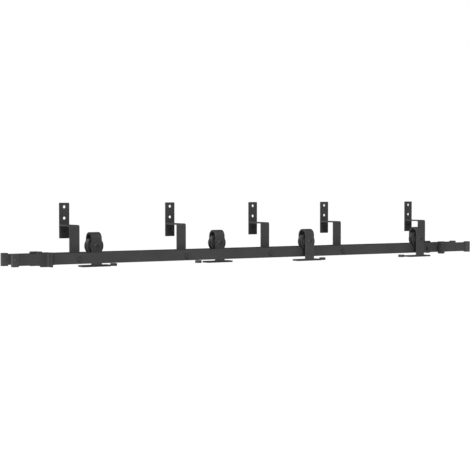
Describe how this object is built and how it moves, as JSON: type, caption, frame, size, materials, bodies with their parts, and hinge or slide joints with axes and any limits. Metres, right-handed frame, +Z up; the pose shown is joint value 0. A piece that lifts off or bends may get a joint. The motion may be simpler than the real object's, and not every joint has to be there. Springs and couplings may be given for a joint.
{
  "type": "barn door track",
  "caption": "Bypass sliding door track: two flat rails on wall brackets, grooved-wheel strap hangers, end stops and anti-jump discs.",
  "frame": {"origin": "midpoint between the two wall holes of the middle bracket, on the wall plane", "axes": "+X along the rails to the right as seen from the room, +Y into the wall, +Z up"},
  "size_m": [2.179, 0.163, 0.2392],
  "materials": {
    "rail_steel": "matt black powder coat",
    "bracket_steel": "matt black powder coat",
    "hanger_steel": "matt black powder coat",
    "stop_steel": "matt black powder coat",
    "spacer_steel": "turned steel, matt black",
    "disc_steel": "turned steel, matt black",
    "black_fasteners": "black oxide",
    "end_block_steel": "matt black",
    "pad_rubber": "matt",
    "wheel_nylon": "turned nylon, satin",
    "bearing_steel": "ground steel with dark shield",
    "bright_steel": "turned steel"
  },
  "bodies": {
    "track": {"rear_rail": "rail_steel", "front_rail": "rail_steel", "wall_plate_1": "bracket_steel", "bracket_arm_1": "bracket_steel", "wall_plate_2": "bracket_steel", "bracket_arm_2": "bracket_steel", "wall_plate_3": "bracket_steel", "bracket_arm_3": "bracket_steel", "wall_plate_4": "bracket_steel", "bracket_arm_4": "bracket_steel", "wall_plate_5": "bracket_steel", "bracket_arm_5": "bracket_steel", "jack_screws": "black_fasteners", "rear_spacers": "spacer_steel", "front_spacers": "spacer_steel", "rail_bolts": "black_fasteners", "rail_nuts": "black_fasteners", "end_screws": "black_fasteners", "stop_pads": "pad_rubber", "stop_screws": "black_fasteners", "rear_left_end_block": "end_block_steel", "rear_left_stop": "stop_steel", "rear_right_end_block": "end_block_steel", "rear_right_stop": "stop_steel", "front_left_end_block": "end_block_steel", "front_left_stop": "stop_steel", "front_right_end_block": "end_block_steel", "front_right_stop": "stop_steel"},
    "rear_left_hanger": {"rear_left_strap": "hanger_steel", "rear_left_door_plate": "hanger_steel", "rear_left_jump_disc": "disc_steel", "rear_left_axle_bolt": "black_fasteners", "rear_left_axle_nut": "black_fasteners", "rear_left_axle_spacers": "bright_steel"},
    "rear_right_hanger": {"rear_right_strap": "hanger_steel", "rear_right_door_plate": "hanger_steel", "rear_right_jump_disc": "disc_steel", "rear_right_axle_bolt": "black_fasteners", "rear_right_axle_nut": "black_fasteners", "rear_right_axle_spacers": "bright_steel"},
    "front_left_hanger": {"front_left_strap": "hanger_steel", "front_left_door_plate": "hanger_steel", "front_left_jump_disc": "disc_steel", "front_left_axle_bolt": "black_fasteners", "front_left_axle_nut": "black_fasteners", "front_left_axle_spacers": "bright_steel"},
    "front_right_hanger": {"front_right_strap": "hanger_steel", "front_right_door_plate": "hanger_steel", "front_right_jump_disc": "disc_steel", "front_right_axle_bolt": "black_fasteners", "front_right_axle_nut": "black_fasteners", "front_right_axle_spacers": "bright_steel"},
    "rear_left_wheel_body": {"rear_left_wheel": "wheel_nylon", "rear_left_bearing": "bearing_steel"},
    "rear_right_wheel_body": {"rear_right_wheel": "wheel_nylon", "rear_right_bearing": "bearing_steel"},
    "front_left_wheel_body": {"front_left_wheel": "wheel_nylon", "front_left_bearing": "bearing_steel"},
    "front_right_wheel_body": {"front_right_wheel": "wheel_nylon", "front_right_bearing": "bearing_steel"}
  },
  "joints": [
    {"name": "rear_left_slide", "type": "slide", "parent": "track", "child": "rear_left_hanger", "axis": [1, 0, 0], "range_m": [-0.1913, 1.0558]},
    {"name": "rear_left_wheel_spin", "type": "hinge", "parent": "rear_left_hanger", "child": "rear_left_wheel_body", "pos_m": [-0.7392, -0.0475, -0.125], "axis": [0, 1, 0], "continuous": true},
    {"name": "rear_right_slide", "type": "slide", "parent": "track", "child": "rear_right_hanger", "axis": [1, 0, 0], "range_m": [-0.1913, 1.0558]},
    {"name": "rear_right_wheel_spin", "type": "hinge", "parent": "rear_right_hanger", "child": "rear_right_wheel_body", "pos_m": [-0.1998, -0.0475, -0.125], "axis": [0, 1, 0], "continuous": true},
    {"name": "front_left_slide", "type": "slide", "parent": "track", "child": "front_left_hanger", "axis": [1, 0, 0], "range_m": [-1.1021, 0.0958]},
    {"name": "front_left_wheel_spin", "type": "hinge", "parent": "front_left_hanger", "child": "front_left_wheel_body", "pos_m": [0.1766, -0.1335, -0.125], "axis": [0, 1, 0], "continuous": true},
    {"name": "front_right_slide", "type": "slide", "parent": "track", "child": "front_right_hanger", "axis": [1, 0, 0], "range_m": [-1.1021, 0.0958]},
    {"name": "front_right_wheel_spin", "type": "hinge", "parent": "front_right_hanger", "child": "front_right_wheel_body", "pos_m": [0.7672, -0.1335, -0.125], "axis": [0, 1, 0], "continuous": true}
  ],
  "couplings": [
    {"joint": "rear_left_wheel_spin", "follows": "rear_left_slide", "rad_per_m": 47.619},
    {"joint": "rear_right_slide", "follows": "rear_left_slide", "ratio": 1},
    {"joint": "rear_right_wheel_spin", "follows": "rear_left_slide", "rad_per_m": 47.619},
    {"joint": "front_left_wheel_spin", "follows": "front_left_slide", "rad_per_m": 47.619},
    {"joint": "front_right_slide", "follows": "front_left_slide", "ratio": 1},
    {"joint": "front_right_wheel_spin", "follows": "front_left_slide", "rad_per_m": 47.619}
  ]
}
